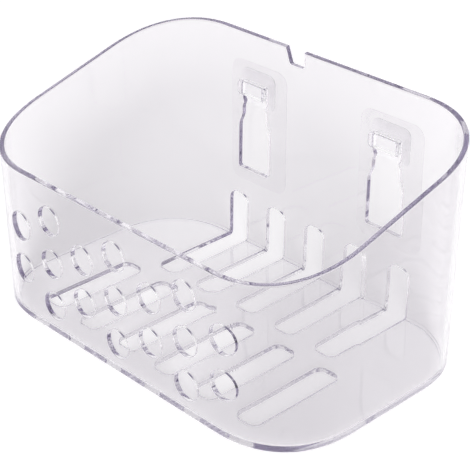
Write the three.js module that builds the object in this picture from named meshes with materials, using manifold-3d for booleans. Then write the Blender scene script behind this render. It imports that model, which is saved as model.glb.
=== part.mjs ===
// A clear bathroom shelf: a moulded basket that hangs on two adhesive wall hooks.
// Millimetres, +Z up. The basket's long side lies along X and the wall is on its +Y side.
// The origin is under the middle of the whole shelf, on the surface that the basket stands on.

import * as THREE from 'three';
import { mergeVertices } from 'three/addons/utils/BufferGeometryUtils.js';
import Module from 'manifold-3d';

const wasm = await Module();
wasm.setup();

// Basket shell, measured on the outside. Both heights are taken above the base's own edges.
const BASE_WIDTH = 196.5;
const BASE_DEPTH = 121.2;
const BASE_CORNER_RADIUS = 35.2;
const DRAFT_DEGREES = 0.92;
const FRONT_HEIGHT = 74.9;
const BACK_HEIGHT = 109.3;
const WALL = 2.2;
const FLOOR = 2.2;
const INSIDE_FILLET = 1.6;
const BASE_EDGE_RADIUS = 1.6;

// Round holes in the front wall, in staggered rows that fill it from the lowest row upwards.
const HOLE_DIAMETER = 13.6;
const HOLE_COLUMNS = 7;
const HOLE_COLUMN_PITCH = 21.36;
const HOLE_ROW_PITCH = 10.6;
const LOWEST_HOLE_HEIGHT = 14.8;
const HOLE_TO_RIM = 5.0;

// Drain slots: the rear ones climb the back wall, the front ones lie between them.
const REAR_SLOTS = 5;
const SLOT_PITCH = 25.1;
const SLOT_WIDTH = 11.8;
const SLOT_CORNER_RADIUS = 4.0;
const REAR_SLOT_REACH = 48.7;
const FRONT_SLOT_INSET = 13.6;
const SLOT_BRIDGE = 8.3;
const SLOT_TO_OPENING = 14.8;

// Hook openings in the back wall: a wide part to pass the hook's head, a narrow part to hang on.
const OPENING_SPACING = 81.2;
const OPENING_BELOW_RIM = 23.8;
const NARROW_WIDTH = 15.5;
const NARROW_HEIGHT = 17.4;
const SHOULDER_HEIGHT = 4.8;
const WIDE_WIDTH = 19.6;
const WIDE_HEIGHT = 22.7;
const OPENING_CORNER_RADIUS = 1.0;
const CLICK_BUMP = 1.2;
const CLICK_BUMP_LENGTH = 3.6;
const CLICK_BUMP_BELOW_TOP = 10.9;

// Notch in the back rim, left of the middle, with one slanted side.
const NOTCH_MIDDLE = -14.15;
const NOTCH_WIDTH = 8.3;
const NOTCH_DEPTH = 7.4;
const NOTCH_SLANT = 2.9;
const NOTCH_CORNER_RADIUS = 1.0;

// Wall hooks: a small plate behind the back wall, a neck through the opening and a head inside the
// basket, on a thin film that sticks to the wall behind the whole opening.
const PLATE_WIDTH = 22.0;
const PLATE_HEIGHT = 18.0;
const PLATE_THICKNESS = 1.0;
const PLATE_CORNER_RADIUS = 4.0;
const NECK_HEIGHT = 6.0;
const HEAD_CATCH = 1.1;
const HEAD_LIP = 1.2;
const HEAD_THICKNESS = 1.8;
const HEAD_CORNER_RADIUS = 2.0;
const PAD_WIDTH = 36.0;
const PAD_HEIGHT = 62.0;
const PAD_THICKNESS = 0.5;
const PAD_CORNER_RADIUS = 6.0;
const CLEARANCE = 0.3;

// How far a cutting body runs past the face that it cuts, and the faces on each bend.
const OVERCUT = 10.0;
const BASKET_CORNER_STEPS = 8;
const FILLET_STEPS = 3;
const HOLE_STEPS = 16;
const SMALL_CORNER_STEPS = 3;

const halfWidth = BASE_WIDTH / 2;
const halfDepth = BASE_DEPTH / 2;
const cornerX = halfWidth - BASE_CORNER_RADIUS;
const cornerY = halfDepth - BASE_CORNER_RADIUS;
const draftSlope = Math.tan(THREE.MathUtils.degToRad(DRAFT_DEGREES));
const rimSlope = (BACK_HEIGHT - FRONT_HEIGHT) / BASE_DEPTH;

const openingTop = BACK_HEIGHT - OPENING_BELOW_RIM;
const shoulderTop = openingTop - NARROW_HEIGHT;
const shoulderBottom = shoulderTop - SHOULDER_HEIGHT;
const openingBottom = shoulderBottom - WIDE_HEIGHT;
const rearSlotTop = openingBottom - SLOT_TO_OPENING;
const rearSlotFront = halfDepth - REAR_SLOT_REACH;

const outerBackY = (z) => halfDepth + draftSlope * z;
const innerBackY = (z) => outerBackY(z) - WALL;
const rimZ = (y) => FRONT_HEIGHT + rimSlope * (y + halfDepth);

// Closed geometry and solids for joining and cutting.

function solidFrom(geometry) {
  const bare = geometry.clone();
  bare.deleteAttribute('normal');
  bare.deleteAttribute('uv');
  const merged = mergeVertices(bare);
  const vertProperties = new Float32Array(merged.getAttribute('position').array);
  const triVerts = new Uint32Array(merged.getIndex().array);
  return new wasm.Manifold(new wasm.Mesh({ numProp: 3, vertProperties, triVerts }));
}

function geometryFrom(solid) {
  const mesh = solid.getMesh();
  const geometry = new THREE.BufferGeometry();
  geometry.setAttribute('position', new THREE.BufferAttribute(new Float32Array(mesh.vertProperties), 3));
  geometry.setIndex(new THREE.BufferAttribute(new Uint32Array(mesh.triVerts), 1));
  geometry.computeVertexNormals();
  return geometry;
}

// A closed outline through corners of [across, up, radius], each bend an arc between its two sides.
function roundedOutline(corners) {
  const points = corners.map(([across, up]) => new THREE.Vector2(across, up));
  const outline = new THREE.Shape();
  points.forEach((corner, i) => {
    const before = points[(i + points.length - 1) % points.length];
    const after = points[(i + 1) % points.length];
    const arriving = corner.clone().sub(before).normalize();
    const leaving = after.clone().sub(corner).normalize();
    const turn = Math.atan2(arriving.cross(leaving), arriving.dot(leaving));
    const side = Math.sign(turn);
    const radius = corners[i][2];
    const setback = radius * Math.tan(Math.abs(turn) / 2);
    const centre = corner.clone().addScaledVector(arriving, -setback);
    centre.add(new THREE.Vector2(-arriving.y, arriving.x).multiplyScalar(side * radius));
    const startAngle = Math.atan2(-arriving.x * side, arriving.y * side);
    outline.absarc(centre.x, centre.y, radius, startAngle, startAngle + turn, turn < 0);
  });
  outline.closePath();
  return outline;
}

function roundedRectangle(left, right, bottom, top, radius) {
  return roundedOutline([
    [left, bottom, radius],
    [right, bottom, radius],
    [right, top, radius],
    [left, top, radius],
  ]);
}

// An outline drawn in X and Y, carried up from one height to another.
function carriedUp(outline, fromZ, toZ, steps) {
  const body = new THREE.ExtrudeGeometry(outline, {
    depth: toZ - fromZ,
    bevelEnabled: false,
    curveSegments: steps,
  });
  return body.translate(0, 0, fromZ);
}

// An outline drawn in X and Z, carried back from one depth to another.
function carriedBack(outline, fromY, toY, steps) {
  const body = carriedUp(outline, 0, toY - fromY, steps);
  return body.rotateX(Math.PI / 2).translate(0, toY, 0);
}

// Basket.

// The basket's drafted body at a given inset from the outside, rounded along its lower edge.
function tubBody(inset, fromZ, toZ, edgeRadius) {
  const outline = roundedRectangle(
    inset - halfWidth,
    halfWidth - inset,
    inset - halfDepth,
    halfDepth - inset,
    BASE_CORNER_RADIUS - inset,
  );
  const body = new THREE.ExtrudeGeometry(outline, {
    depth: toZ - fromZ - 2 * edgeRadius,
    curveSegments: BASKET_CORNER_STEPS,
    bevelThickness: edgeRadius,
    bevelSize: edgeRadius,
    bevelOffset: -edgeRadius,
    bevelSegments: FILLET_STEPS,
  });
  body.translate(0, 0, fromZ + edgeRadius);
  return leanOutwards(body);
}

// Moves each point away from its corner's centre by the draft at its height.
function leanOutwards(body) {
  const place = body.getAttribute('position');
  for (let i = 0; i < place.count; i += 1) {
    const x = place.getX(i);
    const y = place.getY(i);
    const away = new THREE.Vector2(
      x - THREE.MathUtils.clamp(x, -cornerX, cornerX),
      y - THREE.MathUtils.clamp(y, -cornerY, cornerY),
    );
    away.setLength(draftSlope * place.getZ(i));
    place.setXY(i, x + away.x, y + away.y);
  }
  return body;
}

// Everything above the sloping rim, as one long wedge across the basket.
function spaceAboveRim(topZ) {
  const frontY = -halfDepth - OVERCUT;
  const backY = halfDepth + OVERCUT;
  const side = new THREE.Shape([
    new THREE.Vector2(frontY, rimZ(frontY)),
    new THREE.Vector2(backY, rimZ(backY)),
    new THREE.Vector2(backY, topZ),
    new THREE.Vector2(frontY, topZ),
  ]);
  const length = BASE_WIDTH + 4 * OVERCUT;
  const wedge = carriedUp(side, -length / 2, length / 2, 1);
  const alongY = new THREE.Vector3(0, 1, 0);
  const alongZ = new THREE.Vector3(0, 0, 1);
  const alongX = new THREE.Vector3(1, 0, 0);
  return wedge.applyMatrix4(new THREE.Matrix4().makeBasis(alongY, alongZ, alongX));
}

// Every second row holds the columns that the row below it skips.
function frontHoles() {
  const radius = HOLE_DIAMETER / 2;
  const holes = [];
  const highest = FRONT_HEIGHT - HOLE_TO_RIM - radius;
  for (let row = 0; LOWEST_HOLE_HEIGHT + row * HOLE_ROW_PITCH <= highest; row += 1) {
    const z = LOWEST_HOLE_HEIGHT + row * HOLE_ROW_PITCH;
    for (let column = (row + 1) % 2; column < HOLE_COLUMNS; column += 2) {
      const x = (column - (HOLE_COLUMNS - 1) / 2) * HOLE_COLUMN_PITCH;
      const circle = new THREE.Shape().absarc(x, z, radius, 0, 2 * Math.PI);
      holes.push(carriedBack(circle, -halfDepth - OVERCUT, -halfDepth + OVERCUT, HOLE_STEPS));
    }
  }
  return holes;
}

function slotCut(x, frontY, backY) {
  const left = x - SLOT_WIDTH / 2;
  const outline = roundedRectangle(left, left + SLOT_WIDTH, frontY, backY, SLOT_CORNER_RADIUS);
  return carriedUp(outline, -OVERCUT, FLOOR + CLEARANCE, SMALL_CORNER_STEPS);
}

// A rear slot runs back through the floor, round the corner and up the back wall.
function rearSlots() {
  const cuts = [];
  for (let i = 0; i < REAR_SLOTS; i += 1) {
    const x = (i - (REAR_SLOTS - 1) / 2) * SLOT_PITCH;
    const left = x - SLOT_WIDTH / 2;
    const upright = roundedRectangle(left, left + SLOT_WIDTH, -OVERCUT, rearSlotTop, SLOT_CORNER_RADIUS);
    const innerY = innerBackY(0) - INSIDE_FILLET - CLEARANCE;
    cuts.push(slotCut(x, rearSlotFront, halfDepth + OVERCUT));
    cuts.push(carriedBack(upright, innerY, halfDepth + OVERCUT, SMALL_CORNER_STEPS));
  }
  return cuts;
}

function frontSlots() {
  const cuts = [];
  for (let i = 0; i <= REAR_SLOTS; i += 1) {
    const x = (i - REAR_SLOTS / 2) * SLOT_PITCH;
    cuts.push(slotCut(x, FRONT_SLOT_INSET - halfDepth, rearSlotFront - SLOT_BRIDGE));
  }
  return cuts;
}

// Half of an opening's outline from its foot to its head, bump included, as corners on the right.
function openingSide() {
  const r = OPENING_CORNER_RADIUS;
  const bumpZ = openingTop - CLICK_BUMP_BELOW_TOP;
  return [
    [WIDE_WIDTH / 2, openingBottom, r],
    [WIDE_WIDTH / 2, shoulderBottom, r],
    [NARROW_WIDTH / 2, shoulderTop, r],
    [NARROW_WIDTH / 2, bumpZ - CLICK_BUMP_LENGTH / 2, r],
    [NARROW_WIDTH / 2 - CLICK_BUMP, bumpZ, r],
    [NARROW_WIDTH / 2, bumpZ + CLICK_BUMP_LENGTH / 2, r],
    [NARROW_WIDTH / 2, openingTop, r],
  ];
}

function hookOpenings() {
  const right = openingSide();
  const left = right.map(([x, z, r]) => [-x, z, r]).reverse();
  const outline = roundedOutline([...right, ...left]);
  return [-1, 1].map((side) => {
    const cut = carriedBack(outline, innerBackY(0) - OVERCUT, halfDepth + OVERCUT, SMALL_CORNER_STEPS);
    return cut.translate(side * OPENING_SPACING / 2, 0, 0);
  });
}

function rimNotch() {
  const floorZ = BACK_HEIGHT - NOTCH_DEPTH;
  const topZ = BACK_HEIGHT + OVERCUT;
  const left = NOTCH_MIDDLE - NOTCH_WIDTH / 2;
  const right = NOTCH_MIDDLE + NOTCH_WIDTH / 2;
  const lean = NOTCH_SLANT * (topZ - floorZ) / NOTCH_DEPTH;
  const r = NOTCH_CORNER_RADIUS;
  const outline = roundedOutline([
    [left, floorZ, r],
    [right, floorZ, r],
    [right, topZ, r],
    [left - lean, topZ, r],
  ]);
  return carriedBack(outline, innerBackY(0) - OVERCUT, halfDepth + OVERCUT, SMALL_CORNER_STEPS);
}

function basketGeometry() {
  const topZ = Math.max(FRONT_HEIGHT, BACK_HEIGHT) + 2 * OVERCUT;
  const cuts = [
    tubBody(WALL, FLOOR, topZ + OVERCUT, INSIDE_FILLET),
    spaceAboveRim(topZ + OVERCUT),
    ...frontHoles(),
    ...rearSlots(),
    ...frontSlots(),
    ...hookOpenings(),
    rimNotch(),
  ];
  const outside = solidFrom(tubBody(0, 0, topZ, BASE_EDGE_RADIUS));
  return geometryFrom(cuts.reduce((left, cut) => left.subtract(solidFrom(cut)), outside));
}

// Wall hooks and their adhesive pads, drawn on the middle of one opening.

const neckTop = openingTop - CLEARANCE;
const neckBottom = neckTop - NECK_HEIGHT;
const neckWidth = NARROW_WIDTH - 2 * CLICK_BUMP - 2 * CLEARANCE;
const headWidth = NARROW_WIDTH + 2 * HEAD_CATCH;
const liftTravel = neckBottom - openingBottom - CLEARANCE;
const plateTop = (neckTop + neckBottom + PLATE_HEIGHT) / 2;
const plateFront = outerBackY(plateTop) + CLEARANCE;
const plateBack = plateFront + PLATE_THICKNESS;
const padBack = plateBack + PAD_THICKNESS;
const padTop = (openingTop + openingBottom + PAD_HEIGHT) / 2;
const headBack = innerBackY(neckBottom - liftTravel) - CLEARANCE;
const headFront = headBack - HEAD_THICKNESS;

function uprightOutline(width, top, height, radius) {
  return roundedRectangle(-width / 2, width / 2, top - height, top, radius);
}

function hookPlateGeometry() {
  const headHeight = NECK_HEIGHT + HEAD_LIP;
  const plateOutline = uprightOutline(PLATE_WIDTH, plateTop, PLATE_HEIGHT, PLATE_CORNER_RADIUS);
  const neckOutline = uprightOutline(neckWidth, neckTop, NECK_HEIGHT, OPENING_CORNER_RADIUS);
  const headOutline = uprightOutline(headWidth, neckTop + HEAD_LIP, headHeight, HEAD_CORNER_RADIUS);
  const neckFront = headBack - HEAD_THICKNESS / 2;
  const neckBack = plateFront + PLATE_THICKNESS / 2;
  const plate = solidFrom(carriedBack(plateOutline, plateFront, plateBack, SMALL_CORNER_STEPS));
  const neck = solidFrom(carriedBack(neckOutline, neckFront, neckBack, SMALL_CORNER_STEPS));
  const head = solidFrom(carriedBack(headOutline, headFront, headBack, SMALL_CORNER_STEPS));
  return geometryFrom(plate.add(neck).add(head));
}

function padGeometry() {
  const outline = uprightOutline(PAD_WIDTH, padTop, PAD_HEIGHT, PAD_CORNER_RADIUS);
  return carriedBack(outline, plateBack, padBack, SMALL_CORNER_STEPS);
}

// Finishes.

const clearBasketPlastic = new THREE.MeshStandardMaterial({
  color: 0xe9e7ee,
  roughness: 0.06,
  metalness: 0,
  transparent: true,
  opacity: 0.35,
});
const clearHookPlastic = new THREE.MeshStandardMaterial({
  color: 0xf2f2f4,
  roughness: 0.1,
  metalness: 0,
  transparent: true,
  opacity: 0.35,
});
const clearAdhesiveGel = new THREE.MeshStandardMaterial({
  color: 0xf0f0ec,
  roughness: 0.5,
  metalness: 0,
  transparent: true,
  opacity: 0.5,
});

// Assembly.

function namedMesh(name, geometry, material) {
  const mesh = new THREE.Mesh(geometry, material);
  mesh.name = name;
  return mesh;
}

function wallHook(side, x) {
  const hook = new THREE.Group();
  hook.add(namedMesh(`${side}_hook_plate`, hookPlateGeometry(), clearHookPlastic));
  hook.add(namedMesh(`${side}_adhesive_pad`, padGeometry(), clearAdhesiveGel));
  hook.position.x = x;
  return hook;
}

const shelf = new THREE.Group();
shelf.add(namedMesh('basket', basketGeometry(), clearBasketPlastic));
shelf.add(wallHook('left', -OPENING_SPACING / 2));
shelf.add(wallHook('right', OPENING_SPACING / 2));

// The front rim is the foremost edge and the pads' backs the rearmost faces.
const frontRimZ = FRONT_HEIGHT / (1 + rimSlope * draftSlope);
const frontReach = halfDepth + draftSlope * frontRimZ;
shelf.position.y = (frontReach - padBack) / 2;

export default shelf;
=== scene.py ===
# %% [markdown]
# # A clear bathroom shelf basket
# This lesson dresses a moulded shelf basket and the two wall hooks that it hangs on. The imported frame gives
# the place and the box of every piece. Each visible piece is then modelled again with finer edges, because
# clear plastic shows its form almost only where light bends at an edge.

# %% Load the frame
import math

import bmesh
import bpy
from mathutils import Matrix, Vector


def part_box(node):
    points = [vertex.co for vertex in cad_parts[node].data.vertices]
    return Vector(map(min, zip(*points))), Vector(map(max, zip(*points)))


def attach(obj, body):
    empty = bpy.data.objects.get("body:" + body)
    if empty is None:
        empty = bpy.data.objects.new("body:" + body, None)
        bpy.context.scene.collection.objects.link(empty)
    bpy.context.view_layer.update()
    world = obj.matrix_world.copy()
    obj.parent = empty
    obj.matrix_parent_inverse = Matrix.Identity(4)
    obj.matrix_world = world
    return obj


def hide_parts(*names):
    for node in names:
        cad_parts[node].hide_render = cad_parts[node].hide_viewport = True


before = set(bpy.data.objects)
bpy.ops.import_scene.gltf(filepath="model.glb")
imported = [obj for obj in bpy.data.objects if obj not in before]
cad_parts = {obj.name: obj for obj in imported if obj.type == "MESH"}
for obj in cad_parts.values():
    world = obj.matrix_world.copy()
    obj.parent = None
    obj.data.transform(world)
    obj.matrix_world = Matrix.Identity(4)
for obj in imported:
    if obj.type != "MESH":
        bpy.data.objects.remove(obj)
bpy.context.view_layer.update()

# %% [markdown]
# ## Small helpers
# Blender's operators act on whatever is selected, so the same few steps come back all the time: make one
# object the only selected one, select some of its edges by where they lie, and apply a modifier. They are
# written once.

# %% Helpers
MM = 0.001
NEAR = MM / 100
MERGE = MM / 1000


def work_on(piece):
    """Makes one object the only selected one, and the active one."""
    bpy.ops.object.select_all(action="DESELECT")
    piece.select_set(True)
    bpy.context.view_layer.objects.active = piece


def edit(piece, kind="EDGE"):
    """Opens one object in edit mode with nothing selected."""
    work_on(piece)
    bpy.ops.object.mode_set(mode="EDIT")
    bpy.ops.mesh.select_mode(type=kind)
    bpy.ops.mesh.select_all(action="DESELECT")


def done():
    """Leaves edit mode."""
    bpy.ops.object.mode_set(mode="OBJECT")


def pick_edges(piece, wanted):
    """In edit mode, selects the edges whose two ends pass a test, and says how many they are."""
    mesh = bmesh.from_edit_mesh(piece.data)
    for edge in mesh.edges:
        edge.select_set(bool(wanted(edge.verts[0].co, edge.verts[1].co)))
    bmesh.update_edit_mesh(piece.data)
    return sum(edge.select for edge in mesh.edges)


def pick_faces(piece, wanted):
    """In edit mode, selects the faces whose middle and normal pass a test, and says how many they are."""
    bpy.ops.mesh.select_mode(type="FACE")
    mesh = bmesh.from_edit_mesh(piece.data)
    for face in mesh.faces:
        face.select_set(bool(wanted(face.calc_center_median(), face.normal)))
    bmesh.update_edit_mesh(piece.data)
    return sum(face.select for face in mesh.faces)


def apply_modifier(piece, kind, **settings):
    """Adds a modifier, sets it up and applies it at once."""
    work_on(piece)
    modifier = piece.modifiers.new(kind.lower(), kind)
    for name, value in settings.items():
        setattr(modifier, name, value)
    bpy.ops.object.modifier_apply(modifier=modifier.name)


def join(pieces, name):
    """Joins several objects into one mesh."""
    work_on(pieces[0])
    for piece in pieces:
        piece.select_set(True)
    bpy.ops.object.join()
    joined = bpy.context.object
    joined.name = name
    joined.data.name = name
    return joined


def copy_at(piece, offset):
    """Copies an object, mesh and all, and moves the copy's mesh by an offset."""
    work_on(piece)
    bpy.ops.object.duplicate(linked=False)
    twin = bpy.context.object
    twin.location = offset
    bpy.ops.object.transform_apply(location=True, rotation=False, scale=False)
    return twin


def cut(piece, tool):
    """Cuts a tool's shape out of a piece and throws the tool away."""
    apply_modifier(piece, "BOOLEAN", operation="DIFFERENCE", solver="EXACT", object=tool)
    bpy.data.objects.remove(tool)


def add_to(piece, other):
    """Fuses another shape into a piece."""
    apply_modifier(piece, "BOOLEAN", operation="UNION", solver="EXACT", object=other)
    bpy.data.objects.remove(other)


def round_edges(piece, wanted, radius, steps):
    """Rounds the edges of a piece that pass a test."""
    edit(piece)
    count = pick_edges(piece, wanted)
    bpy.ops.mesh.bevel(offset=radius, segments=steps, affect="EDGES")
    done()
    return count


def faces_of(piece):
    """A line to print about a piece."""
    return f"{piece.name}: {len(piece.data.polygons)} faces"


# %% [markdown]
# ## The basket's body
# The real basket is one injection moulding. Its walls lean outwards by about a degree, so that it slips off
# the mould, and its upright corners are large quarter rounds. A scaled box would spoil the corners, because
# its round would grow sideways with the scale. Two flat outlines, one at the foot and one above the rim,
# each with its own corner radius, are bridged instead. The same function makes the outside and the hollow.

# %% The driving sizes of the basket
BASE_WIDTH = 196.5 * MM
BASE_DEPTH = 121.2 * MM
CORNER_REACH = 39.9 * MM
CORNER_PROFILE = 0.55
CORNER_STEPS = 48
LEAN = math.tan(math.radians(0.92))
WALL = 2.2 * MM
FLOOR = 2.2 * MM
INSIDE_FILLET = 1.6 * MM
FILLET_STEPS = 6
FOOT_ROUND = 1.6 * MM
FOOT_STEPS = 4
FRONT_HEIGHT = 74.9 * MM
BACK_HEIGHT = 109.3 * MM
SPARE = 10 * MM

basket_low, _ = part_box("basket")
RIM_SLOPE = (BACK_HEIGHT - FRONT_HEIGHT) / BASE_DEPTH
RIM_MIDDLE = (FRONT_HEIGHT + BACK_HEIGHT) / 2
front_rim = (RIM_MIDDLE - RIM_SLOPE * BASE_DEPTH / 2) / (1 + RIM_SLOPE * LEAN)
BASKET_Y = basket_low.y + BASE_DEPTH / 2 + LEAN * front_rim
print("basket's middle in mm", round(BASKET_Y / MM, 3), "rim slope", round(RIM_SLOPE, 4))

# %% A leaning body between two rounded outlines
def rounded_outline(width, depth, radius, height):
    """A closed ring of edges: a rectangle with round corners, flat at one height."""
    bpy.ops.object.select_all(action="DESELECT")
    bpy.ops.mesh.primitive_plane_add(size=1, location=(0, BASKET_Y, height))
    ring = bpy.context.object
    ring.scale = (width, depth, 1)
    bpy.ops.object.transform_apply(location=True, rotation=False, scale=True)
    edit(ring, "VERT")
    bpy.ops.mesh.select_all(action="SELECT")
    bpy.ops.mesh.bevel(
        offset=radius, segments=CORNER_STEPS, profile=CORNER_PROFILE, affect="VERTICES"
    )
    bpy.ops.mesh.select_all(action="SELECT")
    bpy.ops.mesh.delete(type="ONLY_FACE")
    done()
    return ring


def leaning_body(name, inset, low, high):
    """The solid between two heights whose sides are `inset` inside the basket's outer faces."""
    rings = []
    for height in (low, high):
        grow = LEAN * height - inset
        ring = rounded_outline(
            BASE_WIDTH + 2 * grow, BASE_DEPTH + 2 * grow, CORNER_REACH + grow, height
        )
        rings.append(ring)
    body = join(rings, name)
    edit(body)
    bpy.ops.mesh.select_all(action="SELECT")
    bpy.ops.mesh.bridge_edge_loops()
    bpy.ops.mesh.select_all(action="SELECT")
    bpy.ops.mesh.fill_holes(sides=0)
    bpy.ops.mesh.select_all(action="SELECT")
    bpy.ops.mesh.normals_make_consistent(inside=False)
    done()
    return body


def round_bottom(body, height, radius, steps):
    """Rounds the edge all round a body's underside."""
    edit(body)
    pick_edges(body, lambda a, b: abs(a.z - height) < NEAR and abs(b.z - height) < NEAR)
    bpy.ops.mesh.bevel(offset=radius, segments=steps, affect="EDGES")
    done()


basket = leaning_body("basket_moulding", 0, 0, BACK_HEIGHT + SPARE)
round_bottom(basket, 0, FOOT_ROUND, FOOT_STEPS)
hollow = leaning_body("hollow", WALL, FLOOR, BACK_HEIGHT + 2 * SPARE)
round_bottom(hollow, FLOOR, INSIDE_FILLET, FILLET_STEPS)
print(faces_of(basket), faces_of(hollow))

# %% [markdown]
# ## The sloping rim
# The rim is one flat cut that falls from the back to the front. Bisect with fill makes it in a single step,
# and it is done on the solid body, before it is hollowed, because there the cut is one simple outline.

# %% Cut the rim and hollow the basket
edit(basket)
bpy.ops.mesh.select_all(action="SELECT")
bpy.ops.mesh.bisect(
    plane_co=(0, BASKET_Y, RIM_MIDDLE),
    plane_no=(0, -RIM_SLOPE, 1),
    use_fill=True,
    clear_outer=True,
)
done()
cut(basket, hollow)
print(faces_of(basket), "height in mm", round(basket.dimensions.z / MM, 3))

# %% [markdown]
# ## Rounding the rim
# The rim's two edges are rounded so that nobody is scratched. That is done now, while both are clean closed
# loops: the notch breaks the loops later, and a bevel across its corners would be uneven.

# %% Round the rim
RIM_ROUND = 0.6 * MM
RIM_STEPS = 6


def on_rim(point):
    """Says whether a point lies on the sloping cut."""
    return abs(point.z - RIM_MIDDLE - RIM_SLOPE * (point.y - BASKET_Y)) < NEAR


rim_edges = round_edges(basket, lambda a, b: on_rim(a) and on_rim(b), RIM_ROUND, RIM_STEPS)
print("rounded rim edges", rim_edges, faces_of(basket))

# %% [markdown]
# ## Drain holes in the front wall
# Seventeen round holes stand in a diamond pattern: rows of three and four, shifted by one column from row
# to row. One many-sided cylinder is modelled and copied to each place, and all copies cut the wall
# together.

# %% Drain holes
HOLE_RADIUS = 6.8 * MM
HOLE_SIDES = 72
HOLE_COLUMNS = 7
HOLE_COLUMN_PITCH = 21.36 * MM
HOLE_ROWS = 5
HOLE_ROW_PITCH = 10.6 * MM
LOWEST_HOLE = 14.8 * MM
FRONT_Y = BASKET_Y - BASE_DEPTH / 2

bpy.ops.object.select_all(action="DESELECT")
bpy.ops.mesh.primitive_cylinder_add(
    vertices=HOLE_SIDES, radius=HOLE_RADIUS, depth=2 * SPARE, rotation=(math.pi / 2, 0, 0)
)
hole = bpy.context.object
bpy.ops.object.transform_apply(location=True, rotation=True, scale=False)
tools = []
for row in range(HOLE_ROWS):
    for column in range((row + 1) % 2, HOLE_COLUMNS, 2):
        x = (column - (HOLE_COLUMNS - 1) / 2) * HOLE_COLUMN_PITCH
        z = LOWEST_HOLE + row * HOLE_ROW_PITCH
        tools.append(copy_at(hole, (x, FRONT_Y, z)))
bpy.data.objects.remove(hole)
print("drain holes", len(tools))

# %% [markdown]
# ## Drain slots in the floor
# The front slots are plain slots in the floor. The rear ones start in the floor, pass under the back corner
# and climb up the back wall, so each is an L seen from the side. A box is bisected and its rear part
# extruded upwards to make the L, and then the upright edges at its front end and the two edges at its upper
# end are rounded.

# %% Slot tools
FRONT_SLOTS = 6
REAR_SLOTS = 5
SLOT_PITCH = 25.1 * MM
SLOT_WIDTH = 11.8 * MM
SLOT_ROUND = 4.0 * MM
SLOT_STEPS = 10
FRONT_SLOT_START = BASKET_Y - 47.0 * MM
FRONT_SLOT_END = BASKET_Y + 3.6 * MM
REAR_SLOT_START = BASKET_Y + 11.9 * MM
REAR_SLOT_TOP = 25.8 * MM
CORNER_MARGIN = 1.0 * MM
BACK_Y = BASKET_Y + BASE_DEPTH / 2
STRAIGHT = 0.999
FACING = 0.9


def block(name, low, high):
    """A box between two corners, with its place in its mesh."""
    bpy.ops.object.select_all(action="DESELECT")
    middle = (Vector(low) + Vector(high)) / 2
    bpy.ops.mesh.primitive_cube_add(size=1, location=middle)
    box = bpy.context.object
    box.name = name
    box.scale = Vector(high) - Vector(low)
    bpy.ops.object.transform_apply(location=True, rotation=False, scale=True)
    return box


def along(axis):
    """A test for edges that run along one axis."""
    def test(a, b):
        return abs((b - a).normalized()[axis]) > STRAIGHT
    return test


front_slot = block(
    "front_slot",
    (-SLOT_WIDTH / 2, FRONT_SLOT_START, -SPARE),
    (SLOT_WIDTH / 2, FRONT_SLOT_END, FLOOR + SPARE),
)
round_edges(front_slot, along(2), SLOT_ROUND, SLOT_STEPS)

inner_back = BACK_Y - WALL - INSIDE_FILLET - CORNER_MARGIN
rear_slot = block(
    "rear_slot",
    (-SLOT_WIDTH / 2, REAR_SLOT_START, -SPARE),
    (SLOT_WIDTH / 2, BACK_Y + SPARE, FLOOR + INSIDE_FILLET / 2),
)
edit(rear_slot)
bpy.ops.mesh.select_all(action="SELECT")
bpy.ops.mesh.bisect(plane_co=(0, inner_back, 0), plane_no=(0, 1, 0))
pick_faces(rear_slot, lambda middle, normal: normal.z > FACING and middle.y > inner_back)
bpy.ops.mesh.extrude_region_move(
    TRANSFORM_OT_translate={"value": (0, 0, REAR_SLOT_TOP - FLOOR - INSIDE_FILLET / 2)}
)
done()
slot_front = round_edges(
    rear_slot,
    lambda a, b: along(2)(a, b) and abs(a.y - REAR_SLOT_START) < NEAR,
    SLOT_ROUND,
    SLOT_STEPS,
)
slot_top = round_edges(
    rear_slot,
    lambda a, b: along(1)(a, b) and min(a.z, b.z) > REAR_SLOT_TOP - NEAR,
    SLOT_ROUND,
    SLOT_STEPS,
)
print("rounded edges of a rear slot", slot_front, slot_top)

for tool, count in ((front_slot, FRONT_SLOTS), (rear_slot, REAR_SLOTS)):
    for place in range(count):
        x = (place - (count - 1) / 2) * SLOT_PITCH
        tools.append(copy_at(tool, (x, 0, 0)))
    bpy.data.objects.remove(tool)

# %% [markdown]
# ## Hook openings and the notch
# Each opening in the back wall is bottle-shaped: the hook's head goes in through the wide lower part, and
# its neck then slides up into the narrow part, past two small bumps that hold it. The outline is drawn as
# by hand, by extruding the top edge of a small plane upwards again and again and scaling it. The notch in
# the rim has one slanting side.

# %% Hook openings
OPENING_SPACING = 81.2 * MM
OPENING_TOP = 85.5 * MM
NARROW_HALF = 7.75 * MM
WIDE_HALF = 9.8 * MM
SHOULDER_TOP = 68.1 * MM
SHOULDER_BOTTOM = 63.3 * MM
OPENING_BOTTOM = 40.6 * MM
BUMP_MIDDLE = 74.6 * MM
BUMP = 1.2 * MM
BUMP_HALF_LENGTH = 1.8 * MM
OPENING_ROUND = 1.0 * MM
OPENING_STEPS = 5


def upright_plane(name, half, bottom, top, y):
    """A plane that stands upright and faces the room."""
    bpy.ops.object.select_all(action="DESELECT")
    middle = (0, y, (bottom + top) / 2)
    bpy.ops.mesh.primitive_plane_add(size=1, location=middle, rotation=(math.pi / 2, 0, 0))
    plane = bpy.context.object
    plane.name = name
    plane.scale = (2 * half, top - bottom, 1)
    bpy.ops.object.transform_apply(location=True, rotation=True, scale=True)
    return plane


def grow_up(plane, old_half, old_top, new_half, new_top):
    """Extrudes a plane's top edge up to a new height and scales it to a new half width."""
    pick_edges(plane, lambda a, b: abs(a.z - old_top) < NEAR and abs(b.z - old_top) < NEAR)
    bpy.ops.mesh.extrude_edges_move(
        TRANSFORM_OT_translate={"value": (0, 0, new_top - old_top)}
    )
    bpy.ops.transform.resize(value=(new_half / old_half, 1, 1), center_override=(0, 0, 0))


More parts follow.
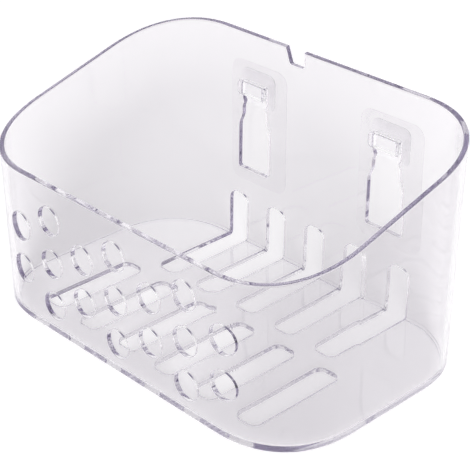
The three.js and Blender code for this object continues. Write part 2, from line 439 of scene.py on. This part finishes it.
opening = upright_plane("hook_opening", WIDE_HALF, OPENING_BOTTOM, SHOULDER_BOTTOM, BACK_Y - SPARE)
steps_up = (
    (NARROW_HALF, SHOULDER_TOP),
    (NARROW_HALF, BUMP_MIDDLE - BUMP_HALF_LENGTH),
    (NARROW_HALF - BUMP, BUMP_MIDDLE),
    (NARROW_HALF, BUMP_MIDDLE + BUMP_HALF_LENGTH),
    (NARROW_HALF, OPENING_TOP),
)
edit(opening)
half, top = WIDE_HALF, SHOULDER_BOTTOM
for new_half, new_top in steps_up:
    grow_up(opening, half, top, new_half, new_top)
    half, top = new_half, new_top
pick_edges(opening, lambda a, b: along(0)(a, b) and OPENING_BOTTOM + MM < a.z < OPENING_TOP - MM)
bpy.ops.mesh.dissolve_edges(use_verts=False)
bpy.ops.mesh.select_mode(type="VERT")
bpy.ops.mesh.select_all(action="SELECT")
bpy.ops.mesh.bevel(offset=OPENING_ROUND, segments=OPENING_STEPS, affect="VERTICES")
bpy.ops.mesh.select_all(action="SELECT")
bpy.ops.mesh.extrude_region_move(TRANSFORM_OT_translate={"value": (0, 2 * SPARE, 0)})
bpy.ops.mesh.select_all(action="SELECT")
bpy.ops.mesh.normals_make_consistent(inside=False)
done()
for side in (-1, 1):
    tools.append(copy_at(opening, (side * OPENING_SPACING / 2, 0, 0)))
bpy.data.objects.remove(opening)
print("cutting tools so far", len(tools))

# %% Notch in the back rim
NOTCH_MIDDLE = -14.15 * MM
NOTCH_HALF = 4.15 * MM
NOTCH_FLOOR = 101.9 * MM
NOTCH_SLANT = 0.39
NOTCH_ROUND = 1.0 * MM
NOTCH_STEPS = 8
NOTCH_TOP = BACK_HEIGHT + SPARE

notch = upright_plane("notch", NOTCH_HALF, NOTCH_FLOOR, NOTCH_TOP, BACK_Y - SPARE)
edit(notch, "VERT")
mesh = bmesh.from_edit_mesh(notch.data)
for vertex in mesh.verts:
    vertex.select_set(vertex.co.z > NOTCH_FLOOR + MM and vertex.co.x < 0)
bpy.ops.transform.translate(value=(-NOTCH_SLANT * (NOTCH_TOP - NOTCH_FLOOR), 0, 0))
mesh = bmesh.from_edit_mesh(notch.data)
for vertex in mesh.verts:
    vertex.select_set(vertex.co.z < NOTCH_FLOOR + MM)
bpy.ops.mesh.bevel(offset=NOTCH_ROUND, segments=NOTCH_STEPS, affect="VERTICES")
bpy.ops.mesh.select_all(action="SELECT")
bpy.ops.mesh.extrude_region_move(TRANSFORM_OT_translate={"value": (0, 2 * SPARE, 0)})
bpy.ops.mesh.select_all(action="SELECT")
bpy.ops.mesh.normals_make_consistent(inside=False)
done()
tools.append(copy_at(notch, (NOTCH_MIDDLE, 0, 0)))
bpy.data.objects.remove(notch)

cut(basket, join(tools, "cutting_tools"))
print(faces_of(basket))

# %% [markdown]
# ## Softening the mould edges
# No moulded edge is perfectly sharp. The slots' edges in the floor are well rounded, so that they show as
# thin grey lines. The holes and openings in the walls are crisper, and their dark edges keep their full
# width. One Bevel modifier does both: each sharp edge gets a bevel weight, and the modifier's width
# is scaled by it. Weighted normals then keep the large flat faces flat.

# %% Edge softening
FLOOR_EDGE_ROUND = 0.5 * MM
FLOOR_EDGE_STEPS = 4
WALL_EDGE_SHARE = 0.25
FLOOR_EDGES_BELOW = 4.0 * MM
EDGE_STEPS = 3
EDGE_ANGLE = math.radians(35)
SMOOTH_ANGLE = math.radians(40)
FLAT_FACE_WEIGHT = 90


def clean(piece):
    """Merges stray vertices and removes faces without area."""
    edit(piece, "VERT")
    bpy.ops.mesh.select_all(action="SELECT")
    bpy.ops.mesh.remove_doubles(threshold=MERGE)
    bpy.ops.mesh.dissolve_degenerate(threshold=MERGE)
    done()


def weigh_sharp_edges(piece, wanted, weight):
    """Gives a bevel weight to the sharp edges whose two ends pass a test, and says how many they are."""
    edit(piece)
    bpy.ops.mesh.edges_select_sharp(sharpness=EDGE_ANGLE)
    mesh = bmesh.from_edit_mesh(piece.data)
    for edge in mesh.edges:
        edge.select_set(edge.select and wanted(edge.verts[0].co, edge.verts[1].co))
    bmesh.update_edit_mesh(piece.data)
    count = sum(edge.select for edge in mesh.edges)
    bpy.ops.transform.edge_bevelweight(value=weight)
    done()
    return count


def soften(piece, width, steps, limit):
    """Bevels the sharp or the weighted edges and shades the result smoothly."""
    apply_modifier(
        piece,
        "BEVEL",
        width=width,
        segments=steps,
        limit_method=limit,
        angle_limit=EDGE_ANGLE,
        use_clamp_overlap=False,
        miter_outer="MITER_ARC",
    )
    bpy.ops.object.shade_smooth_by_angle(angle=SMOOTH_ANGLE)
    apply_modifier(piece, "WEIGHTED_NORMAL", keep_sharp=True, weight=FLAT_FACE_WEIGHT)


def in_floor(a, b):
    """Says whether an edge lies in the basket's floor."""
    return max(a.z, b.z) < FLOOR_EDGES_BELOW


clean(basket)
floor_edges = weigh_sharp_edges(basket, in_floor, 1.0)
wall_edges = weigh_sharp_edges(basket, lambda a, b: not in_floor(a, b), WALL_EDGE_SHARE)
soften(basket, FLOOR_EDGE_ROUND, FLOOR_EDGE_STEPS, "WEIGHT")
print("sharp edges in the floor and in the walls", floor_edges, wall_edges, faces_of(basket))

# %% [markdown]
# ## Wall hooks and their films
# A hook is a small clear moulding: a low domed flange, a neck, and a head that is wider than the neck. The
# basket's opening drops over the head. The flange is bonded to a clear film that sticks to the wall. Both
# thin out towards their edges, as such stick-on pieces do, so that dirt finds no step to gather on. A plain
# block would show that step as a bright outline, so the front face is inset and pushed forward in one move,
# which leaves a long slope.

# %% Thin sheets that slope to their edges
HOOK_STEPS = 12


def sloped_sheet(name, low, high, corner, edge, slope):
    """An upright sheet with round corners, `edge` thick at its outline and full thickness further in."""
    sheet = block(name, (low.x, high.y - edge, low.z), high)
    round_edges(sheet, along(1), corner, HOOK_STEPS)
    edit(sheet, "FACE")
    pick_faces(sheet, lambda middle, normal: normal.y < -FACING)
    bpy.ops.mesh.inset(thickness=slope, depth=high.y - edge - low.y)
    done()
    return sheet


# %% Wall hook
FLANGE_ROUND = 4.0 * MM
FLANGE_THICKNESS = 1.0 * MM
FLANGE_EDGE = 0.15 * MM
FLANGE_SLOPE = 3.5 * MM
HEAD_ROUND = 2.0 * MM
NECK_HALF = 6.25 * MM
NECK_BOTTOM = 79.2 * MM
NECK_TOP = 85.2 * MM
HEAD_HALF = 8.85 * MM
HEAD_TOP = 86.4 * MM
HEAD_THICKNESS = 1.8 * MM
HEAD_EDGE_ROUND = 0.6 * MM
HOOK_EDGE_ROUND = 0.06 * MM
HOOK_EDGE_STEPS = 2
NECK_OVERLAP = 0.5 * MM

hook_low, hook_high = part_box("left_hook_plate")
hook_x = (hook_low.x + hook_high.x) / 2
flange_front = hook_high.y - FLANGE_THICKNESS
head_back = hook_low.y + HEAD_THICKNESS

hook = sloped_sheet(
    "left_wall_hook",
    Vector((hook_low.x, flange_front, hook_low.z)),
    hook_high,
    FLANGE_ROUND,
    FLANGE_EDGE,
    FLANGE_SLOPE,
)
neck = block(
    "neck",
    (hook_x - NECK_HALF, head_back - NECK_OVERLAP, NECK_BOTTOM),
    (hook_x + NECK_HALF, flange_front + NECK_OVERLAP, NECK_TOP),
)
round_edges(neck, along(1), HEAD_EDGE_ROUND, EDGE_STEPS)
head = block(
    "head",
    (hook_x - HEAD_HALF, hook_low.y, NECK_BOTTOM),
    (hook_x + HEAD_HALF, head_back, HEAD_TOP),
)
round_edges(head, along(1), HEAD_ROUND, HOOK_STEPS // 2)
round_edges(
    head,
    lambda a, b: max(a.y, b.y) < hook_low.y + NEAR or min(a.y, b.y) > head_back - NEAR,
    HEAD_EDGE_ROUND,
    2 * EDGE_STEPS,
)
add_to(hook, neck)
add_to(hook, head)
clean(hook)
soften(hook, HOOK_EDGE_ROUND, HOOK_EDGE_STEPS, "ANGLE")
right_hook = copy_at(hook, (-2 * hook_x, 0, 0))
right_hook.name = "right_wall_hook"
print(faces_of(hook), faces_of(right_hook))

# %% Adhesive film
FILM_ROUND = 6.0 * MM
FILM_EDGE = 0.08 * MM
FILM_SLOPE = 4.0 * MM
FILM_GAP = 0.05 * MM

film_low, film_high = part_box("left_adhesive_pad")
film_low = film_low + Vector((0, FILM_GAP, 0))
pad = sloped_sheet("left_gel_pad", film_low, film_high, FILM_ROUND, FILM_EDGE, FILM_SLOPE)
bpy.ops.object.shade_smooth_by_angle(angle=SMOOTH_ANGLE)
right_pad = copy_at(pad, (-2 * hook_x, 0, 0))
right_pad.name = "right_gel_pad"
print(faces_of(pad), faces_of(right_pad))

# %% [markdown]
# ## Clear plastic
# The basket is polished clear plastic with a faint lavender tint. One wall looks almost colourless, but
# light that enters at an edge is reflected to and fro inside the wall and travels far, so rims and the
# edges of holes look dark. Absorption inside the volume gives both from one number, which a tinted surface
# can't. A very faint ripple, as a polished mould leaves it, varies the gloss and bends the reflections a
# little.

# %% The surface of a clear plastic
RIPPLE_SCALE = 45
RIPPLE_DETAIL = 2
RIPPLE_HEIGHT = 0.1 * MM


def rippled_surface(nodes, links, shader, roughness, ripple):
    """Varies a shader's roughness between two values and bends its normal, both by one noise."""
    place = nodes.new("ShaderNodeTexCoord")
    noise = nodes.new("ShaderNodeTexNoise")
    noise.inputs["Scale"].default_value = RIPPLE_SCALE
    noise.inputs["Detail"].default_value = RIPPLE_DETAIL
    links.new(place.outputs["Object"], noise.inputs["Vector"])
    gloss = nodes.new("ShaderNodeMapRange")
    gloss.inputs["To Min"].default_value = roughness[0]
    gloss.inputs["To Max"].default_value = roughness[1]
    links.new(noise.outputs["Fac"], gloss.inputs["Value"])
    links.new(gloss.outputs["Result"], shader.inputs["Roughness"])
    bump = nodes.new("ShaderNodeBump")
    bump.inputs["Strength"].default_value = ripple
    bump.inputs["Distance"].default_value = RIPPLE_HEIGHT
    links.new(noise.outputs["Fac"], bump.inputs["Height"])
    links.new(bump.outputs["Normal"], shader.inputs["Normal"])


print("ripples about", round(1 / RIPPLE_SCALE / MM), "mm apart")

# %% [markdown]
# ## What the lamps see of the plastic
# Lamp light that passes a clear wall and then falls on the floor would need caustics, which are slow and
# noisy. For shadow rays alone the plastic is therefore a plain filter, which Light Path mixes in. Faces
# that lie flat let all lamp light pass. Upright walls take some of it away, so that the floor inside the
# basket is greyer than the floor around it. Walls further back take less, so that the grey is even from
# front to back.

# %% The filter for lamp light
TO_THE_BACK = (0, 1, 0)
FAR_WALL_REACH = 40 * MM
UPRIGHT_BELOW = 0.5
LYING_ABOVE = 0.9
WHITE = (1, 1, 1, 1)


def math_node(nodes, operation):
    """A Math node with its operation set."""
    node = nodes.new("ShaderNodeMath")
    node.operation = operation
    return node


def colour_mix(nodes, first, second):
    """A Mix node between two colours."""
    mix = nodes.new("ShaderNodeMix")
    mix.data_type = "RGBA"
    mix.inputs["A"].default_value = first
    mix.inputs["B"].default_value = second
    return mix


def how_flat(nodes, links):
    """Gives 1 where a face lies flat and 0 where it stands upright."""
    surface = nodes.new("ShaderNodeNewGeometry")
    facing = nodes.new("ShaderNodeSeparateXYZ")
    links.new(surface.outputs["Normal"], facing.inputs["Vector"])
    level = math_node(nodes, "ABSOLUTE")
    links.new(facing.outputs["Z"], level.inputs[0])
    lying = nodes.new("ShaderNodeMapRange")
    lying.inputs["From Min"].default_value = UPRIGHT_BELOW
    lying.inputs["From Max"].default_value = LYING_ABOVE
    links.new(level.outputs["Value"], lying.inputs["Value"])
    return lying.outputs["Result"]


def how_far(nodes, links, most):
    """Rises from 0 at the front of the basket to `most` at the back."""
    place = nodes.new("ShaderNodeTexCoord")
    depth = nodes.new("ShaderNodeVectorMath")
    depth.operation = "DOT_PRODUCT"
    depth.inputs[1].default_value = TO_THE_BACK
    links.new(place.outputs["Object"], depth.inputs[0])
    far = nodes.new("ShaderNodeMapRange")
    far.inputs["From Min"].default_value = -FAR_WALL_REACH
    far.inputs["From Max"].default_value = FAR_WALL_REACH
    far.inputs["To Max"].default_value = most
    links.new(depth.outputs["Value"], far.inputs["Value"])
    return far.outputs["Result"]


def lamp_filter(nodes, links, shade, far_clear):
    """A transparent shader that dims lamp light at upright walls, and less at the far ones."""
    clear = math_node(nodes, "MAXIMUM")
    links.new(how_flat(nodes, links), clear.inputs[0])
    links.new(how_far(nodes, links, far_clear), clear.inputs[1])
    colour = colour_mix(nodes, (*shade, 1), WHITE)
    links.new(clear.outputs["Value"], colour.inputs["Factor"])
    passing = nodes.new("ShaderNodeBsdfTransparent")
    links.new(colour.outputs["Result"], passing.inputs["Color"])
    return passing.outputs["BSDF"]


print("the filter weakens over", round(2 * FAR_WALL_REACH / MM), "mm")

# %% A clear material
DIM_MIRROR = (0.6, 0.6, 0.6, 1)


def clear_material(name, tint, ior, absorption, density, roughness, ripple, shade, far_clear):
    """Clear moulded plastic: a rippled surface, absorption inside and a filter for lamp light."""
    material = bpy.data.materials.new(name)
    material.use_nodes = True
    nodes, links = material.node_tree.nodes, material.node_tree.links
    shader = nodes["Principled BSDF"]
    shader.inputs["Base Color"].default_value = (*tint, 1)
    shader.inputs["IOR"].default_value = ior
    shader.inputs["Transmission Weight"].default_value = 1.0
    shader.inputs["Specular Tint"].default_value = DIM_MIRROR
    rippled_surface(nodes, links, shader, roughness, ripple)
    volume = nodes.new("ShaderNodeVolumeAbsorption")
    volume.inputs["Color"].default_value = (*absorption, 1)
    volume.inputs["Density"].default_value = density
    rays = nodes.new("ShaderNodeLightPath")
    choice = nodes.new("ShaderNodeMixShader")
    links.new(rays.outputs["Is Shadow Ray"], choice.inputs["Fac"])
    links.new(shader.outputs["BSDF"], choice.inputs[1])
    links.new(lamp_filter(nodes, links, shade, far_clear), choice.inputs[2])
    output = nodes["Material Output"]
    links.new(choice.outputs["Shader"], output.inputs["Surface"])
    links.new(volume.outputs["Volume"], output.inputs["Volume"])
    print(name, "nodes", len(nodes))
    return material


# %% The basket's plastic, the hooks' plastic and the film's gel
basket_plastic = clear_material(
    "clear_basket_plastic",
    tint=(0.915, 0.907, 0.917),
    ior=1.55,
    absorption=(0.79, 0.765, 0.84),
    density=16,
    roughness=(0.01, 0.03),
    ripple=0.3,
    shade=(0.66, 0.65, 0.67),
    far_clear=0.40,
)
hook_plastic = clear_material(
    "clear_hook_plastic",
    tint=(0.975, 0.97, 0.98),
    ior=1.5,
    absorption=(0.8, 0.8, 0.82),
    density=8,
    roughness=(0.01, 0.03),
    ripple=0.3,
    shade=(0.97, 0.97, 0.975),
    far_clear=0,
)
gel = clear_material(
    "adhesive_gel",
    tint=(0.98, 0.977, 0.98),
    ior=1.42,
    absorption=(0.8, 0.8, 0.78),
    density=8,
    roughness=(0.05, 0.15),
    ripple=0.6,
    shade=(0.97, 0.97, 0.97),
    far_clear=0,
)

# %% [markdown]
# ## Finishes and bodies
# Each piece takes its material and is tied to the body that carries it. The basket slides up on the hooks,
# so it rides on its own body, and the hooks and films stay on the wall. Each piece also stands for one node
# of the frame, which is hidden.

# %% Give every piece its material, body and node
DRESS = (
    (basket, basket_plastic, "clear_basket_plastic", "basket", "basket"),
    (hook, hook_plastic, "clear_hook_plastic", "wall_hooks", "left_hook_plate"),
    (right_hook, hook_plastic, "clear_hook_plastic", "wall_hooks", "right_hook_plate"),
    (pad, gel, "adhesive_gel", "wall_hooks", "left_adhesive_pad"),
    (right_pad, gel, "adhesive_gel", "wall_hooks", "right_adhesive_pad"),
)
for piece, material, slot, body, node in DRESS:
    piece.data.materials.clear()
    piece.data.materials.append(material)
    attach(piece, body)
    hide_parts(node)
    print(piece.name, "rides on", body)

# %% [markdown]
# ## Floor
# The basket stands on white paper. White paper under lamps of a plain level renders as light grey, so the
# paper also glows for rays from the camera, from mirrors and through the plastic, and lamps and glow
# together just reach white. Where the basket takes lamp light away the glow is left, and that is its soft
# shadow. The paper has a trace of the plastic's lavender, which shows only in that shadow.

# %% Floor
FLOOR_SIZE = 20
FLOOR_DROP = 0.1 * MM
PAPER_COLOUR = (0.80, 0.79, 0.803, 1)
GLOW_COLOUR = (1.0, 0.99, 1.003, 1)
GLOW = 0.47

bpy.ops.object.select_all(action="DESELECT")
bpy.ops.mesh.primitive_plane_add(size=FLOOR_SIZE, location=(0, 0, -FLOOR_DROP))
floor = bpy.context.object
floor.name = "floor"
paper = bpy.data.materials.new("white_paper")
paper.use_nodes = True
nodes, links = paper.node_tree.nodes, paper.node_tree.links
nodes.remove(nodes["Principled BSDF"])
rays = nodes.new("ShaderNodeLightPath")
seen_through = math_node(nodes, "MAXIMUM")
links.new(rays.outputs["Is Camera Ray"], seen_through.inputs[0])
links.new(rays.outputs["Is Transmission Ray"], seen_through.inputs[1])
seen = math_node(nodes, "MAXIMUM")
links.new(seen_through.outputs["Value"], seen.inputs[0])
links.new(rays.outputs["Is Glossy Ray"], seen.inputs[1])
level = math_node(nodes, "MULTIPLY")
links.new(seen.outputs["Value"], level.inputs[0])
level.inputs[1].default_value = GLOW
glow = nodes.new("ShaderNodeEmission")
glow.inputs["Color"].default_value = GLOW_COLOUR
links.new(level.outputs["Value"], glow.inputs["Strength"])
diffuse = nodes.new("ShaderNodeBsdfDiffuse")
diffuse.inputs["Color"].default_value = PAPER_COLOUR
both = nodes.new("ShaderNodeAddShader")
links.new(diffuse.outputs["BSDF"], both.inputs[0])
links.new(glow.outputs["Emission"], both.inputs[1])
links.new(both.outputs["Shader"], nodes["Material Output"].inputs["Surface"])
floor.data.materials.append(paper)
print("floor glows by", GLOW)

# %% [markdown]
# ## The room
# Clear plastic shows what is around it, because its edges bend the room into the picture. This room is
# white, with a lavender grey ceiling, so that edges that end up looking at the ceiling are dark and have a
# cool colour. The camera itself sees plain white. The world is hidden from diffuse rays, so that the lamps
# alone set the level on the paper.

# %% World
CEILING_COLOUR = (0.20, 0.175, 0.27, 1)
CEILING_STARTS = 0.6
CEILING_FULL = 0.8

world = bpy.data.worlds.new("studio")
bpy.context.scene.world = world
world.use_nodes = True
nodes, links = world.node_tree.nodes, world.node_tree.links
place = nodes.new("ShaderNodeTexCoord")
split = nodes.new("ShaderNodeSeparateXYZ")
links.new(place.outputs["Generated"], split.inputs["Vector"])
height = nodes.new("ShaderNodeMapRange")
height.inputs["From Min"].default_value = CEILING_STARTS
height.inputs["From Max"].default_value = CEILING_FULL
links.new(split.outputs["Z"], height.inputs["Value"])
room = colour_mix(nodes, WHITE, CEILING_COLOUR)
links.new(height.outputs["Result"], room.inputs["Factor"])
rays = nodes.new("ShaderNodeLightPath")
view = colour_mix(nodes, WHITE, WHITE)
links.new(rays.outputs["Is Camera Ray"], view.inputs["Factor"])
links.new(room.outputs["Result"], view.inputs["A"])
background = nodes["Background"]
background.inputs["Strength"].default_value = 1.0
links.new(view.outputs["Result"], background.inputs["Color"])
world.cycles_visibility.diffuse = False
print("ceiling above", round(math.degrees(math.asin(CEILING_STARTS))), "degrees")

# %% [markdown]
# ## Lamps
# A large softbox hangs overhead, and a broad low light comes from the camera's side, so that its shadow
# falls behind the basket and the clear walls are seen against it. That second one is a Sun with a wide
# angle, because a Sun gives the same level all over the paper, where a softbox would leave its far end
# grey. Both are hidden from mirror and transmission rays, because the room already gives the reflections.

# %% Lamps
CEILING_POWER = 14
CEILING_PLACE = Vector((0, 0, 2.2))
CEILING_SIZE = 2.4
FRONT_LEVEL = 4.85
FRONT_AZIMUTH = math.radians(46.7)
FRONT_ELEVATION = math.radians(20.9)
FRONT_SPREAD = math.radians(23)


def studio_lamp(name, kind, place, strength):
    """A lamp that looks at the origin, and that the clear plastic doesn't mirror."""
    light = bpy.data.lights.new(name, kind)
    light.energy = strength
    light.cycles.use_multiple_importance_sampling = False
    lamp = bpy.data.objects.new(name, light)
    bpy.context.scene.collection.objects.link(lamp)
    lamp.location = place
    lamp.rotation_euler = (-place).to_track_quat("-Z", "Y").to_euler()
    lamp.visible_glossy = False
    lamp.visible_transmission = False
    return light


ceiling = studio_lamp("ceiling_softbox", "AREA", CEILING_PLACE, CEILING_POWER)
ceiling.shape = "DISK"
ceiling.size = CEILING_SIZE
front_place = Vector((
    math.sin(FRONT_AZIMUTH) * math.cos(FRONT_ELEVATION),
    -math.cos(FRONT_AZIMUTH) * math.cos(FRONT_ELEVATION),
    math.sin(FRONT_ELEVATION),
))
front = studio_lamp("front_light", "SUN", front_place, FRONT_LEVEL)
front.angle = FRONT_SPREAD
print("front light from", [round(v, 3) for v in front_place])

# %% [markdown]
# ## Camera
# Place, tilt and lens come from fitting the basket's edges to their places in the photograph. The lens
# shift puts the optical axis where the photograph's framing has it.

# %% Camera
CAMERA_AZIMUTH = math.radians(46.7062)
CAMERA_HEIGHT = math.radians(28.4723)
CAMERA_ROLL = math.radians(-0.3109)
CAMERA_DISTANCE = 642.72 * MM
TARGET_HEIGHT = 45.6 * MM
PHOTO_SIDE = 470
FOCAL_PIXELS = 1475.38
AXIS_X = 221.97
AXIS_Y = 232.16
SENSOR = 36

target = Vector((0, BASKET_Y, TARGET_HEIGHT))
back = Vector((
    math.sin(CAMERA_AZIMUTH) * math.cos(CAMERA_HEIGHT),
    -math.cos(CAMERA_AZIMUTH) * math.cos(CAMERA_HEIGHT),
    math.sin(CAMERA_HEIGHT),
))
right = Vector((math.cos(CAMERA_AZIMUTH), math.sin(CAMERA_AZIMUTH), 0))
up = back.cross(right)
turn = Matrix.Rotation(CAMERA_ROLL, 3, back)
lens = bpy.data.cameras.new("photo_camera")
lens.sensor_width = SENSOR
lens.lens = FOCAL_PIXELS * SENSOR / PHOTO_SIDE
lens.shift_x = (PHOTO_SIDE / 2 - AXIS_X) / PHOTO_SIDE
lens.shift_y = (AXIS_Y - PHOTO_SIDE / 2) / PHOTO_SIDE
camera = bpy.data.objects.new("photo_camera", lens)
bpy.context.scene.collection.objects.link(camera)
axes = Matrix((turn @ right, turn @ up, back)).transposed()
camera.matrix_world = Matrix.Translation(target + back * CAMERA_DISTANCE) @ axes.to_4x4()
bpy.context.scene.camera = camera
print("lens in mm", round(lens.lens, 2), "camera at", [round(v, 4) for v in camera.location])

# %% [markdown]
# ## Render settings
# Light that enters a rim is reflected inside the wall very many times before it finds a way out. With the
# usual limit of bounces it is lost on the way, and the rims turn black, so the limit is raised. Caustics
# are off, because the filter for lamp light takes their place.

# %% Render settings that the materials need
BOUNCES = 128

scene = bpy.context.scene
scene.view_settings.view_transform = "Standard"
scene.cycles.max_bounces = BOUNCES
scene.cycles.transmission_bounces = BOUNCES
scene.cycles.glossy_bounces = BOUNCES
scene.cycles.transparent_max_bounces = BOUNCES
scene.cycles.caustics_refractive = False
scene.cycles.caustics_reflective = False
print("bounces", BOUNCES)
